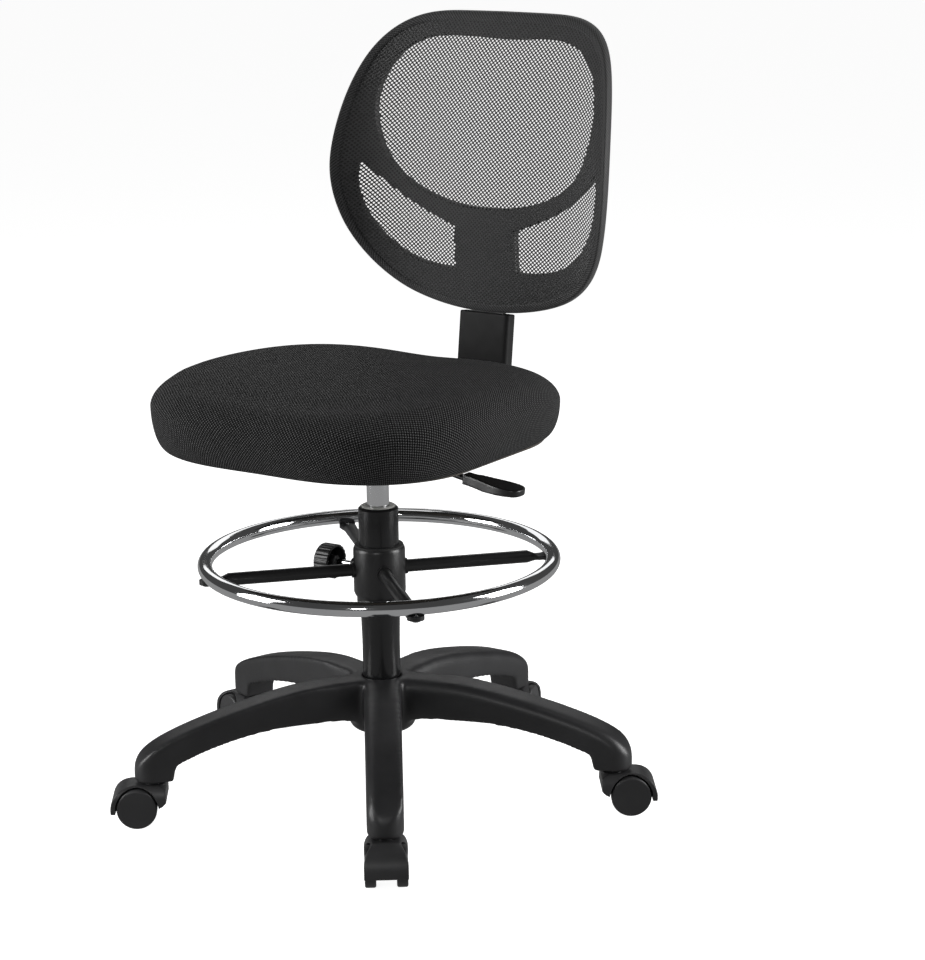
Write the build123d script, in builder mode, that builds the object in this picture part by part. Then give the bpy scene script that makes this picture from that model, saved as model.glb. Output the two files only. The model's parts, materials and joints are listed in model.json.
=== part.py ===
"""Drafting chair: five-arm caster base, gas lift, sliding foot ring, padded seat
and a curved mesh back on a bent steel bar.

Frame: millimetres, +Z up, origin on the floor on the column axis.  The chair
faces -Y, so the back stands on the +Y side and the lift lever points to +X.
"""
from build123d import *
import os
from math import sin, cos, radians, degrees, pi

os.makedirs("parts", exist_ok=True)

# ---------------------------------------------------------------- driving sizes
ARM_START = 306.0          # direction of the first base arm, degrees from +X
ARM_REACH = 300.5          # column axis to caster stem axis
ARM_HALF = 23.5            # half width of a base arm
SOCKET_R = 22.0            # outer radius of the stem socket at the arm's end
SOCKET_Z = 56.0            # underside of the stem socket
HUB_TOP = 155.0            # top of the base hub
HUB_BOTTOM = 86.0          # underside of the base hub
HUB_R = 42.0

WHEEL_R = 25.0             # caster wheel radius
WHEEL_IN = 12.0            # inner face of a wheel from the caster's mid-plane
WHEEL_OUT = 25.4           # outer face of a wheel
TRAIL = 19.0               # stem axis to wheel axle
HOOD_HALF = 26.0
HOOD_IN_R = 26.7           # inner radius of the wheel pockets
AXLE_R = 4.0
STEM_R = 5.5
# direction in which each caster trails at rest, degrees from +X,
# in the order of the arms
CASTER_TRAIL = [306.0, 36.0, 107.0, 159.0, 216.0]

COLUMN_TOP = 374.0
COLUMN_BOTTOM = 79.0
COLUMN_R = 25.0            # upper part of the column tube
COLUMN_LOW_R = 23.7        # below the taper
COLUMN_BORE_R = 21.0
CYL_R = 14.0               # gas cylinder
CYL_BOTTOM = 105.0
CYL_TOP = 441.0
ROD_R = 5.0                # piston rod
LIFT = 190.0               # travel of the gas lift
HEAD_Z = 308.0             # underside of the piston head

RING_R = 217.0             # foot ring, centre line
RING_TUBE = 9.2            # foot ring tube radius
RING_Z = 305.0
SPOKE_START = 317.0        # direction of the first spoke
SPOKE_R = 8.0
SPOKE_Z = 294.0
FOOT_HUB_R = 32.5
FOOT_HUB_TOP = 323.0
FOOT_HUB_LOW = 252.0
KNOB_DIR = 182.0           # direction of the clamp screw
CLAMP_Z = 293.0

SEAT_W, SEAT_L, SEAT_CORNER = 457.0, 432.0, 148.0
SEAT_Y = -41.0             # seat centre is forward of the column
SEAT_BOTTOM, SEAT_TOP = 466.4, 541.0
BOARD_Z, BOARD_T = 466.0, 12.0
PLATE_Z = 463.0            # underside of the seat plate flange
LEVER_SLOPE = -0.19
LEVER_Z0 = 451.0           # lever rod centre height over the column axis
LEVER_PIVOT_X = 52.0

BAR_W, BAR_T = 50.0, 6.0   # steel back bar
BAR_Z = 463.0
COVER_W, COVER_T = 77.0, 20.0

BACK_TOP, BACK_BOTTOM = 958.0, 578.0
BACK_T = 14.0              # back frame, front to back


def save(builder, name):
    builder.part.label = name
    export_step(builder.part, f"parts/{name}.step")


def side_plane(x, y, angle):
    """Vertical plane through (x, y): local x runs outwards at angle, local y is up."""
    a = radians(angle)
    return Plane(origin=(x, y, 0), x_dir=(cos(a), sin(a), 0), z_dir=(sin(a), -cos(a), 0))


# ==================================================================== base body
# One arm lying along +X: side profile, trimmed to its plan outline, top rounded.
with BuildPart() as arm_blank:
    with BuildSketch(Plane.XZ):
        with BuildLine():
            top = Spline((0, 156), (58, 155.5), (107, 153), (172, 141.5), (237, 125),
                         (280, 110.5), (304, 98), (318, 84), (322.5, 68),
                         tangents=[(1, 0), (0, -1)])
            Line((322.5, 68), (322.5, SOCKET_Z))
            Line((322.5, SOCKET_Z), (278.5, SOCKET_Z))
            Line((278.5, SOCKET_Z), (274.5, 75))
            Spline((274.5, 75), (205, 97), (115, 107), (55, 103), (0, 92))
            Line((0, 92), (0, 156))
        make_face()
    extrude(amount=ARM_HALF, both=True)
    with BuildSketch(Plane.XY.offset(30)):
        with BuildLine():
            Polyline((0, -ARM_HALF), (ARM_REACH, -SOCKET_R), (ARM_REACH, SOCKET_R),
                     (0, ARM_HALF), close=True)
        make_face()
        with Locations((ARM_REACH, 0)):
            Circle(SOCKET_R)
    extrude(amount=140, mode=Mode.INTERSECT)
    fillet(arm_blank.faces().sort_by(Axis.Z)[-1].edges().filter_by(
        lambda e: e.length > 60), 13)

# Pockets under the arm, between a middle rib and cross ribs 3 mm thick
POCKETS = [(46, 84, 149.5, 147.5), (87, 134, 147.3, 141), (137, 184, 140.4, 130.5),
           (187, 234, 129.8, 118), (237, 272, 117.2, 105)]
with BuildPart() as arm_pockets:
    for x0, x1, z0, z1 in POCKETS:
        with BuildSketch(Plane.XZ.offset(-17)):
            with BuildLine():
                Polyline((x0, 50), (x1, 50), (x1, z1), (x0, z0), close=True)
            make_face()
        extrude(amount=15.4)
        with BuildSketch(Plane.XZ.offset(1.6)):
            with BuildLine():
                Polyline((x0, 50), (x1, 50), (x1, z1), (x0, z0), close=True)
            make_face()
        extrude(amount=15.4)

with BuildPart() as base_star:
    with BuildSketch(Plane.XZ):
        with BuildLine():
            Polyline((0, HUB_BOTTOM), (34, HUB_BOTTOM), (HUB_R, HUB_BOTTOM + 6),
                     (HUB_R, HUB_TOP - 5), (36, HUB_TOP + 1), (0, HUB_TOP + 1), close=True)
        make_face()
    revolve(axis=Axis.Z)
    with PolarLocations(0, 5, start_angle=ARM_START):
        add(arm_blank.part)
    with PolarLocations(0, 5, start_angle=ARM_START):
        add(arm_pockets.part, mode=Mode.SUBTRACT)
    # stem sockets
    with PolarLocations(ARM_REACH, 5, start_angle=ARM_START):
        with Locations((0, 0, SOCKET_Z)):
            Cylinder(STEM_R, 38, align=(Align.CENTER, Align.CENTER, Align.MIN),
                     mode=Mode.SUBTRACT)
    # tapered seat for the column
    with BuildSketch(Plane.XZ):
        with BuildLine():
            Polyline((0, COLUMN_BOTTOM), (23.2, COLUMN_BOTTOM), (23.6, HUB_TOP + 3),
                     (0, HUB_TOP + 3), close=True)
        make_face()
    revolve(axis=Axis.Z, mode=Mode.SUBTRACT)
save(base_star, "base_star")

with BuildPart() as column_tube:
    with BuildSketch(Plane.XZ):
        with BuildLine():
            Polyline((COLUMN_BORE_R, COLUMN_BOTTOM), (23.2, COLUMN_BOTTOM),
                     (23.6, HUB_TOP + 3), (COLUMN_LOW_R, 200), (COLUMN_R, 252),
                     (COLUMN_R, COLUMN_TOP - 2.5), (COLUMN_R - 2.5, COLUMN_TOP),
                     (COLUMN_BORE_R, COLUMN_TOP), close=True)
        make_face()
    revolve(axis=Axis.Z)
save(column_tube, "column_tube")

with BuildPart() as column_guide_sleeve:
    with BuildSketch(Plane.XZ):
        with BuildLine():
            Polyline((CYL_R + 0.05, 288), (COLUMN_BORE_R, 288), (COLUMN_BORE_R, COLUMN_TOP),
                     (COLUMN_BORE_R - 1, COLUMN_TOP + 1.5), (CYL_R + 1.5, COLUMN_TOP + 1.5),
                     (CYL_R + 0.05, COLUMN_TOP), close=True)
        make_face()
    revolve(axis=Axis.Z)
save(column_guide_sleeve, "column_guide_sleeve")

with BuildPart() as column_end_plate:
    with BuildSketch(Plane.XY.offset(COLUMN_BOTTOM + 1)):
        Circle(COLUMN_BORE_R)
        Circle(ROD_R + 1.0, mode=Mode.SUBTRACT)
    extrude(amount=4)
save(column_end_plate, "column_end_plate")

with BuildPart() as bearing_lower_race:
    with BuildSketch(Plane.XY.offset(COLUMN_BOTTOM + 5)):
        Circle(15)
        Circle(ROD_R + 1.0, mode=Mode.SUBTRACT)
    extrude(amount=2)
save(bearing_lower_race, "bearing_lower_race")

BALL_Z = COLUMN_BOTTOM + 9.0
with BuildPart() as bearing_balls:
    with PolarLocations(11, 12):
        with Locations((0, 0, BALL_Z)):
            Sphere(1.98)
save(bearing_balls, "bearing_balls")

with BuildPart() as caster_stems:
    with PolarLocations(ARM_REACH, 5, start_angle=ARM_START):
        with Locations((0, 0, 40)):
            Cylinder(STEM_R, 50, align=(Align.CENTER, Align.CENTER, Align.MIN))
        with Locations((0, 0, SOCKET_Z - 1.6)):
            Cylinder(9.5, 1.6, align=(Align.CENTER, Align.CENTER, Align.MIN))
save(caster_stems, "caster_stems")

# ============================================================= swivelling column
with BuildPart() as piston_rod:
    with BuildSketch(Plane.XY.offset(72)):
        Circle(ROD_R)
    extrude(amount=HEAD_Z - 72)
    chamfer(piston_rod.edges().sort_by(Axis.Z)[0], 0.8)
save(piston_rod, "piston_rod")

with BuildPart() as piston_head:
    with BuildSketch(Plane.XY.offset(HEAD_Z)):
        Circle(11.95)
    extrude(amount=14)
    with BuildSketch(Plane.XY.offset(HEAD_Z + 5)):
        Circle(11.95)
        Circle(10.6, mode=Mode.SUBTRACT)
    extrude(amount=3, mode=Mode.SUBTRACT)
save(piston_head, "piston_head")

with BuildPart() as bearing_upper_race:
    with BuildSketch(Plane.XY.offset(COLUMN_BOTTOM + 11)):
        Circle(15)
        Circle(ROD_R, mode=Mode.SUBTRACT)
    extrude(amount=2)
save(bearing_upper_race, "bearing_upper_race")

with BuildPart() as rod_clip:
    with BuildSketch(Plane.XY.offset(COLUMN_BOTTOM - 1)):
        Circle(9)
        Circle(ROD_R, mode=Mode.SUBTRACT)
        with Locations((7, 0)):
            Rectangle(8, 4, mode=Mode.SUBTRACT)
    extrude(amount=1.5)
save(rod_clip, "rod_clip")

with BuildPart() as column_bumper:
    with BuildSketch(Plane.XY.offset(COLUMN_BOTTOM + 13)):
        Circle(13)
        Circle(ROD_R, mode=Mode.SUBTRACT)
    extrude(amount=12)
    fillet(column_bumper.edges().filter_by(GeomType.CIRCLE).group_by(Axis.Z)[-1].sort_by(
        SortBy.RADIUS)[-1], 2.5)
save(column_bumper, "column_bumper")

# ==================================================================== seat body
with BuildPart() as gas_cylinder:
    with BuildSketch(Plane.XZ):
        with BuildLine():
            Polyline((12, CYL_BOTTOM), (CYL_R - 0.6, CYL_BOTTOM), (CYL_R, CYL_BOTTOM + 1),
                     (CYL_R, 406), (13.2, CYL_TOP - 1), (12.4, CYL_TOP), (4.06, CYL_TOP),
                     (4.06, 428), (12, 428), close=True)
        make_face()
    revolve(axis=Axis.Z)
save(gas_cylinder, "gas_cylinder")

with BuildPart() as cylinder_seal:
    with BuildSketch(Plane.XY.offset(CYL_BOTTOM)):
        Circle(12)
        Circle(ROD_R + 0.05, mode=Mode.SUBTRACT)
    extrude(amount=10)
save(cylinder_seal, "cylinder_seal")

with BuildPart() as seat_plate:
    # flange with a window over the pan
    with BuildSketch(Plane.XY.offset(PLATE_Z)):
        with Locations((0, -18)):
            RectangleRounded(160, 160, 18)
    extrude(amount=3)
    # pan
    with BuildSketch(Plane.XY.offset(435)):
        RectangleRounded(92, 88, 10)
    extrude(amount=PLATE_Z - 435)
    with BuildSketch(Plane.XY.offset(438)):
        RectangleRounded(86, 82, 7)
    extrude(amount=40, mode=Mode.SUBTRACT)
    # hub tube with the cylinder's taper
    with BuildSketch(Plane.XY.offset(406)):
        Circle(19)
    extrude(amount=36)
    with BuildSketch(Plane.XZ):
        with BuildLine():
            Polyline((0, 405), (CYL_R + 0.0, 405), (CYL_R, 406), (13.2, CYL_TOP - 1),
                     (13.2, 443), (0, 443), close=True)
        make_face()
    revolve(axis=Axis.Z, mode=Mode.SUBTRACT)
    # notch in the hub tube that the lever's inner end dips into
    with Locations((18, 0, 441)):
        Box(16, 12, 9, mode=Mode.SUBTRACT)
    # lever slot in the +X wall, with two lugs outside it
    with Locations((44.5, 0, 446)):
        Box(8, 13, 22, mode=Mode.SUBTRACT)
    with Locations((51.5, 9.5, 449), (51.5, -9.5, 449)):
        Box(13, 3, 28)
    with Locations((LEVER_PIVOT_X, 0, LEVER_Z0 + LEVER_SLOPE * LEVER_PIVOT_X)):
        Cylinder(2.5, 40, rotation=(90, 0, 0), mode=Mode.SUBTRACT)
    # bolt holes through the flange
    with Locations((-62, -80, PLATE_Z + 1.5), (62, -80, PLATE_Z + 1.5),
                   (-62, 44, PLATE_Z + 1.5), (62, 44, PLATE_Z + 1.5)):
        Cylinder(3.2, 8, mode=Mode.SUBTRACT)
save(seat_plate, "seat_plate")

PLATE_BOLTS = [(-62, -80), (62, -80), (-62, 44), (62, 44)]
BAR_BOLTS = [(0, 92), (-14, 122), (14, 122)]

with BuildPart() as seat_board:
    with BuildSketch(Plane.XY.offset(BOARD_Z)):
        with Locations((0, SEAT_Y)):
            RectangleRounded(SEAT_W - 44, SEAT_L - 44, SEAT_CORNER - 22)
    extrude(amount=BOARD_T)
    with Locations(*[(x, y, BOARD_Z + BOARD_T / 2) for x, y in PLATE_BOLTS + BAR_BOLTS]):
        Cylinder(4.0, BOARD_T + 2, mode=Mode.SUBTRACT)
    with Locations(*[(x, y, BOARD_Z + BOARD_T - 0.6) for x, y in PLATE_BOLTS + BAR_BOLTS]):
        Cylinder(9.0, 1.4, mode=Mode.SUBTRACT)
save(seat_board, "seat_board")

with BuildPart() as tee_nuts:
    for x, y in PLATE_BOLTS + BAR_BOLTS:
        with BuildSketch(Plane.XY.offset(BOARD_Z + BOARD_T - 1.3)):
            with Locations((x, y)):
                Circle(9)
                Circle(3, mode=Mode.SUBTRACT)
        extrude(amount=1.2)
        with BuildSketch(Plane.XY.offset(BOARD_Z + 2)):
            with Locations((x, y)):
                Circle(4)
                Circle(3, mode=Mode.SUBTRACT)
        extrude(amount=BOARD_T - 3.3)
save(tee_nuts, "tee_nuts")

with BuildPart() as seat_cushion:
    with BuildSketch(Plane.XY.offset(SEAT_BOTTOM)):
        with Locations((0, SEAT_Y)):
            RectangleRounded(SEAT_W, SEAT_L, SEAT_CORNER)
    extrude(amount=SEAT_TOP - SEAT_BOTTOM)
    fillet(seat_cushion.faces().sort_by(Axis.Z)[-1].edges(), 34)
    fillet(seat_cushion.faces().sort_by(Axis.Z)[0].edges(), 20)
    with BuildSketch(Plane.XY.offset(SEAT_BOTTOM - 1)):
        with Locations((0, SEAT_Y)):
            RectangleRounded(SEAT_W - 44, SEAT_L - 44, SEAT_CORNER - 22)
    extrude(amount=BOARD_Z + BOARD_T - SEAT_BOTTOM + 1, mode=Mode.SUBTRACT)
save(seat_cushion, "seat_cushion")


HEX_HEAD, HEX_ACROSS, SHANK_R = 4.0, 10.0, 2.95

with BuildPart() as seat_plate_bolts:
    with BuildSketch(Plane.XY.offset(PLATE_Z - HEX_HEAD)):
        with Locations(*PLATE_BOLTS):
            RegularPolygon(HEX_ACROSS / 2, 6, major_radius=False)
    extrude(amount=HEX_HEAD)
    with BuildSketch(Plane.XY.offset(PLATE_Z)):
        with Locations(*PLATE_BOLTS):
            Circle(SHANK_R)
    extrude(amount=BOARD_Z + BOARD_T - 0.5 - PLATE_Z)
save(seat_plate_bolts, "seat_plate_bolts")

# ----------------------------------------------------------------- back support
BAR_Y = 256.0              # upright part of the bar, inside the back
BAR_PATH = [(78, BAR_Z), (238, BAR_Z), (BAR_Y, 600), (BAR_Y, 690)]
with BuildPart() as back_bar:
    with BuildLine(Plane.YZ) as bar_line:
        FilletPolyline(*BAR_PATH, radius=[46, 120])
    with BuildSketch(Plane(origin=(0, BAR_PATH[0][0], BAR_Z), x_dir=(1, 0, 0),
                           z_dir=(0, 1, 0))):
        Rectangle(BAR_W, BAR_T)
    sweep(path=bar_line.wires()[0])
    with Locations(*[(x, y, BAR_Z) for x, y in BAR_BOLTS]):
        Cylinder(3.2, 10, mode=Mode.SUBTRACT)
    with Locations((0, BAR_Y, 630), (0, BAR_Y, 670)):
        Cylinder(3.0, 12, rotation=(90, 0, 0), mode=Mode.SUBTRACT)
save(back_bar, "back_bar")

with BuildPart() as back_bar_bolts:
    with BuildSketch(Plane.XY.offset(BAR_Z - BAR_T / 2 - HEX_HEAD)):
        with Locations(*BAR_BOLTS):
            RegularPolygon(HEX_ACROSS / 2, 6, major_radius=False)
    extrude(amount=HEX_HEAD)
    with BuildSketch(Plane.XY.offset(BAR_Z - BAR_T / 2)):
        with Locations(*BAR_BOLTS):
            Circle(SHANK_R)
    extrude(amount=BOARD_Z + BOARD_T - 0.5 - BAR_Z + BAR_T / 2)
save(back_bar_bolts, "back_bar_bolts")

COVER_TOP_Y = 238 + (BAR_Y - 238) * (576.6 - BAR_Z) / (600 - BAR_Z)
with BuildPart() as back_bar_cover:
    with BuildLine(Plane.YZ) as cover_line:
        FilletPolyline((182, BAR_Z), (238, BAR_Z), (COVER_TOP_Y, 576.6), radius=[46])
    with BuildSketch(Plane(origin=(0, 182, BAR_Z), x_dir=(1, 0, 0), z_dir=(0, 1, 0))):
        with Locations((0, -2)):
            RectangleRounded(COVER_W, COVER_T, 6)
        Rectangle(BAR_W + 0.2, BAR_T + 0.2, mode=Mode.SUBTRACT)
    sweep(path=cover_line.wires()[0])
save(back_bar_cover, "back_bar_cover")

# Curved back: every horizontal section has the same bow, shifted along Y so
# that the back leans and curls rearwards at its top.
def bow(x):
    return 3.03e-4 * x * x - 3.53e-8 * x ** 4


def lean(z):
    if z < 685:
        return 244.6 + 0.022 * (685 - z)
    return 251.0 + 0.127 * (z - 780) + 6.3e-4 * (z - 780) ** 2


BOW_X = [-222, -190, -160, -130, -100, -60, -20, 20, 60, 100, 130, 160, 190, 222]
SECTION_Z = [566, 625, 685, 740, 800, 860, 915, 970]


def bow_row(z, off):
    """Points of the horizontal section at height z, off behind the front surface."""
    return [(x, lean(z) + bow(x) + off) for x in BOW_X]


HALF_OUTLINE = [(0, 958), (58, 957.5), (104, 955), (143, 943), (172, 917), (190, 880),
                (200, 842), (206, 803), (208.5, 766), (205.5, 729), (196.5, 692),
                (181, 657), (159, 628), (130, 605), (94, 590), (50, 581), (0, 578)]
HALF_WINDOW = [(0, 925), (58, 926.5), (102, 924), (133, 911), (154, 887), (164, 858),
               (165.5, 830), (160, 802), (149, 775), (131, 752), (106, 735), (73, 722),
               (38, 715), (0, 713)]
LOW_WINDOW = [(46, 686), (75, 697), (117, 717), (147, 738), (168, 755), (181, 768),
              (184.5, 752), (183, 732), (175, 704), (162, 681), (144, 661), (118, 644),
              (88, 635), (46, 632)]


def whole(half):
    return half + [(-x, z) for x, z in half[-2:0:-1]]


FAR = Plane.XZ.offset(-330)     # extrusions run from Y = 330 towards -Y

with BuildPart() as back_frame:
    for z in SECTION_Z:
        with BuildSketch(Plane.XY.offset(z)):
            with BuildLine():
                f = Spline(*bow_row(z, 0.0))
                b = Spline(*bow_row(z, BACK_T))
                Line(f @ 0, b @ 0)
                Line(f @ 1, b @ 1)
            make_face()
    loft()
    # spine box that takes the bar
    with BuildSketch(Plane.XZ.offset(-266)):
        with BuildLine():
            Polyline((-40, 581), (40, 581), (40, 702), (-40, 702), close=True)
        make_face()
    extrude(amount=16)
    with BuildSketch(FAR):
        with BuildLine():
            Spline(*whole(HALF_OUTLINE), periodic=True)
        make_face()
    extrude(amount=190, mode=Mode.INTERSECT)
    with BuildSketch(FAR):
        with BuildLine():
            Spline(*whole(HALF_WINDOW), periodic=True)
        make_face()
    extrude(amount=190, mode=Mode.SUBTRACT)
    for s in (1, -1):
        with BuildSketch(FAR):
            with BuildLine():
                Spline(*[(s * x, z) for x, z in LOW_WINDOW[:6]])
                Spline(*[(s * x, z) for x, z in LOW_WINDOW[5:]])
                Line((s * 46, 632), (s * 46, 686))
            make_face()
        extrude(amount=190, mode=Mode.SUBTRACT)
    # pocket for the bar, open at the bottom
    with BuildSketch(Plane.XY.offset(570)):
        with Locations((0, BAR_Y)):
            Rectangle(BAR_W + 0.4, BAR_T + 0.4)
    extrude(amount=122, mode=Mode.SUBTRACT)
    with BuildSketch(Plane.YZ):
        with BuildLine():
            Polyline((BAR_Y - 6.6, 570), (BAR_Y - 3.2, 616), (BAR_Y + 3.2, 616),
                     (BAR_Y + 3.2, 570), close=True)
        make_face()
    extrude(amount=BAR_W / 2 + 0.2, both=True, mode=Mode.SUBTRACT)
    with Locations((0, 262, 630), (0, 262, 670)):
        Cylinder(2.6, 14, rotation=(90, 0, 0), mode=Mode.SUBTRACT)
save(back_frame, "back_frame")

with BuildPart() as back_mesh:
    for z in SECTION_Z:
        with BuildSketch(Plane.XY.offset(z)):
            with BuildLine():
                f = Spline(*bow_row(z, -1.5))
                b = Spline(*bow_row(z, -0.3))
                Line(f @ 0, b @ 0)
                Line(f @ 1, b @ 1)
            make_face()
    loft()
    with BuildSketch(FAR):
        with BuildLine():
            Spline(*whole(HALF_OUTLINE), periodic=True)
        make_face()
    extrude(amount=190, mode=Mode.INTERSECT)
save(back_mesh, "back_mesh")

with BuildPart() as back_frame_screws:
    for z in (630, 670):
        with BuildSketch(Plane.XZ.offset(-266)):
            with Locations((0, z)):
                Circle(2.5)
        extrude(amount=10.5)
        with BuildSketch(Plane.XZ.offset(-266)):
            with Locations((0, z)):
                Circle(4.8)
        extrude(amount=-2.6)
        with BuildSketch(Plane.XZ.offset(-268.6)):
            with Locations((0, z)):
                Rectangle(5.5, 1.1)
                Rectangle(1.1, 5.5)
        extrude(amount=1.2, mode=Mode.SUBTRACT)
save(back_frame_screws, "back_frame_screws")

# ----------------------------------------------------------------------- lever
with BuildPart() as lever_pivot_pin:
    with Locations((LEVER_PIVOT_X, 0, LEVER_Z0 + LEVER_SLOPE * LEVER_PIVOT_X)):
        Cylinder(2.5, 24, rotation=(90, 0, 0))
save(lever_pivot_pin, "lever_pivot_pin")

LEVER_TILT = degrees(-LEVER_SLOPE)      # small slope, degrees below level
def on_lever(x, dz=0.0):
    return (x, 0, LEVER_Z0 + LEVER_SLOPE * x + dz)

with BuildPart() as lever_rod:
    with BuildSketch(Plane(origin=on_lever(-5), x_dir=(0, 1, 0), z_dir=(1, 0, LEVER_SLOPE))):
        Circle(4.0)
    extrude(amount=160)
    with Locations(on_lever(LEVER_PIVOT_X)):
        Cylinder(2.56, 20, rotation=(90, 0, 0), mode=Mode.SUBTRACT)
save(lever_rod, "lever_rod")

PADDLE = Plane(origin=on_lever(132, 1.0), x_dir=(1, 0, -0.13), z_dir=(0.13, 0, 1))
with BuildPart() as lever_paddle:
    with BuildSketch(PADDLE.offset(-7)):
        with BuildLine():
            Spline((0, -7.5), (14, -8.5), (34, -13), (58, -16.5), (76, -13.5), (82, 0),
                   tangents=[(1, 0), (0, 1)])
            Spline((82, 0), (76, 13.5), (58, 16.5), (34, 13), (14, 8.5), (0, 7.5),
                   tangents=[(0, 1), (-1, 0)])
            Line((0, 7.5), (0, -7.5))
        make_face()
    extrude(amount=13)
    # thins towards its tip
    with BuildSketch(Plane(origin=PADDLE.origin, x_dir=PADDLE.x_dir, z_dir=(0, -1, 0))):
        with BuildLine():
            Polyline((20, -20), (100, -20), (100, -2.0), (84, -2.0), (30, -7.2), close=True)
        make_face()
    extrude(amount=40, both=True, mode=Mode.SUBTRACT)
    with BuildSketch(Plane(origin=on_lever(-5), x_dir=(0, 1, 0), z_dir=(1, 0, LEVER_SLOPE))):
        Circle(4.0)
    extrude(amount=160, mode=Mode.SUBTRACT)
save(lever_paddle, "lever_paddle")

with BuildPart() as release_pin:
    with BuildSketch(Plane.XY.offset(434)):
        Circle(4.0)
    extrude(amount=445.8 - 434)
save(release_pin, "release_pin")

# ================================================================== foot ring
with BuildPart() as footring_bush:
    with BuildSketch(Plane.XZ):
        with BuildLine():
            Polyline((COLUMN_R + 0.05, FOOT_HUB_LOW + 2), (28.4, FOOT_HUB_LOW + 2),
                     (28.4, FOOT_HUB_TOP), (30.4, FOOT_HUB_TOP), (30.4, FOOT_HUB_TOP + 2),
                     (COLUMN_R + 0.05, FOOT_HUB_TOP + 2), close=True)
        make_face()
    revolve(axis=Axis.Z)
save(footring_bush, "footring_bush")

CLAMP = side_plane(0, 0, KNOB_DIR)
kd = Vector(cos(radians(KNOB_DIR)), sin(radians(KNOB_DIR)), 0)


def clamp_plane(r):
    """Plane square to the clamp screw, r out from the column axis."""
    return Plane(origin=(kd.X * r, kd.Y * r, CLAMP_Z), x_dir=(0, 0, 1), z_dir=(kd.X, kd.Y, 0))


with BuildPart() as footring_hub:
    with BuildSketch(Plane.XZ):
        with BuildLine():
            Polyline((28.45, FOOT_HUB_LOW), (28.9, FOOT_HUB_LOW), (28.9, FOOT_HUB_LOW + 6),
                     (31, FOOT_HUB_LOW + 9), (FOOT_HUB_R, FOOT_HUB_LOW + 13),
                     (FOOT_HUB_R, FOOT_HUB_TOP - 4), (FOOT_HUB_R - 0.8, FOOT_HUB_TOP - 1),
                     (FOOT_HUB_R - 1.6, FOOT_HUB_TOP), (28.45, FOOT_HUB_TOP), close=True)
        make_face()
    revolve(axis=Axis.Z)
    # boss for the clamp screw
    with BuildSketch(clamp_plane(30)):
        Circle(9)
    extrude(amount=9)
    with BuildSketch(clamp_plane(20)):
        Circle(4.05)
    extrude(amount=30, mode=Mode.SUBTRACT)
    # weld collars for the spokes
    for k in range(4):
        a = radians(SPOKE_START + 90 * k)
        with BuildSketch(Plane(origin=(30.5 * cos(a), 30.5 * sin(a), SPOKE_Z),
                               x_dir=(0, 0, 1), z_dir=(cos(a), sin(a), 0))):
            Circle(10)
            Circle(SPOKE_R, mode=Mode.SUBTRACT)
        extrude(amount=4.5)
save(footring_hub, "footring_hub")

with BuildPart() as footring_spokes:
    for k in range(4):
        a = radians(SPOKE_START + 90 * k)
        u = Vector(cos(a), sin(a), 0)

        def across(r, dz=0.0):
            return Plane(origin=(u.X * r, u.Y * r, SPOKE_Z + dz), x_dir=(-u.Y, u.X, 0),
                         z_dir=(u.X, u.Y, 0))

        with BuildSketch(across(FOOT_HUB_R + 0.02)):
            Circle(SPOKE_R)
        extrude(amount=190 - FOOT_HUB_R - 0.02)
        # squeezed flat towards the ring
        with BuildSketch(across(190)):
            Circle(SPOKE_R)
        with BuildSketch(across(204, -1.25)):
            RectangleRounded(21, 5.3, 2.6)
        loft()
        with BuildSketch(across(204, -1.25)):
            RectangleRounded(21, 5.3, 2.6)
        extrude(amount=12)
        with BuildSketch(Plane(origin=(u.X * 216, u.Y * 216, SPOKE_Z - 3.9),
                               x_dir=(u.X, u.Y, 0), z_dir=(0, 0, 1))):
            Circle(10.5)
        extrude(amount=5.3)
        with BuildSketch(Plane(origin=(u.X * RING_R, u.Y * RING_R, SPOKE_Z - 10),
                               x_dir=(u.X, u.Y, 0), z_dir=(0, 0, 1))):
            Circle(3.1)
        extrude(amount=20, mode=Mode.SUBTRACT)
save(footring_spokes, "footring_spokes")

with BuildPart() as footring_ring:
    with BuildSketch(Plane.XZ):
        with Locations((RING_R, RING_Z)):
            Circle(RING_TUBE)
            Circle(RING_TUBE - 1.5, mode=Mode.SUBTRACT)
    revolve(axis=Axis.Z)
    with PolarLocations(RING_R, 4, start_angle=SPOKE_START):
        with Locations((0, 0, RING_Z - RING_TUBE + 1)):
            Cylinder(2.55, 6, mode=Mode.SUBTRACT)
save(footring_ring, "footring_ring")

with BuildPart() as footring_screws:
    with PolarLocations(RING_R, 4, start_angle=SPOKE_START):
        with Locations((0, 0, 290.05 - 2.4)):
            Cylinder(5, 2.4, align=(Align.CENTER, Align.CENTER, Align.MIN))
        with Locations((0, 0, 290.05)):
            Cylinder(2.5, 10, align=(Align.CENTER, Align.CENTER, Align.MIN))
save(footring_screws, "footring_screws")

# ------------------------------------------------------------------ ring clamp
with BuildPart() as clamp_pad:
    with BuildSketch(clamp_plane(28.75)):
        Circle(4.0)
    extrude(amount=1.6)
save(clamp_pad, "clamp_pad")

with BuildPart() as clamp_screw:
    with BuildSketch(clamp_plane(30.45)):
        Circle(4.0)
    extrude(amount=80 - 30.45)
    chamfer(clamp_screw.edges().filter_by(GeomType.CIRCLE).sort_by(
        lambda e: e.center().length)[0], 0.6)
save(clamp_screw, "clamp_screw")

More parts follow.
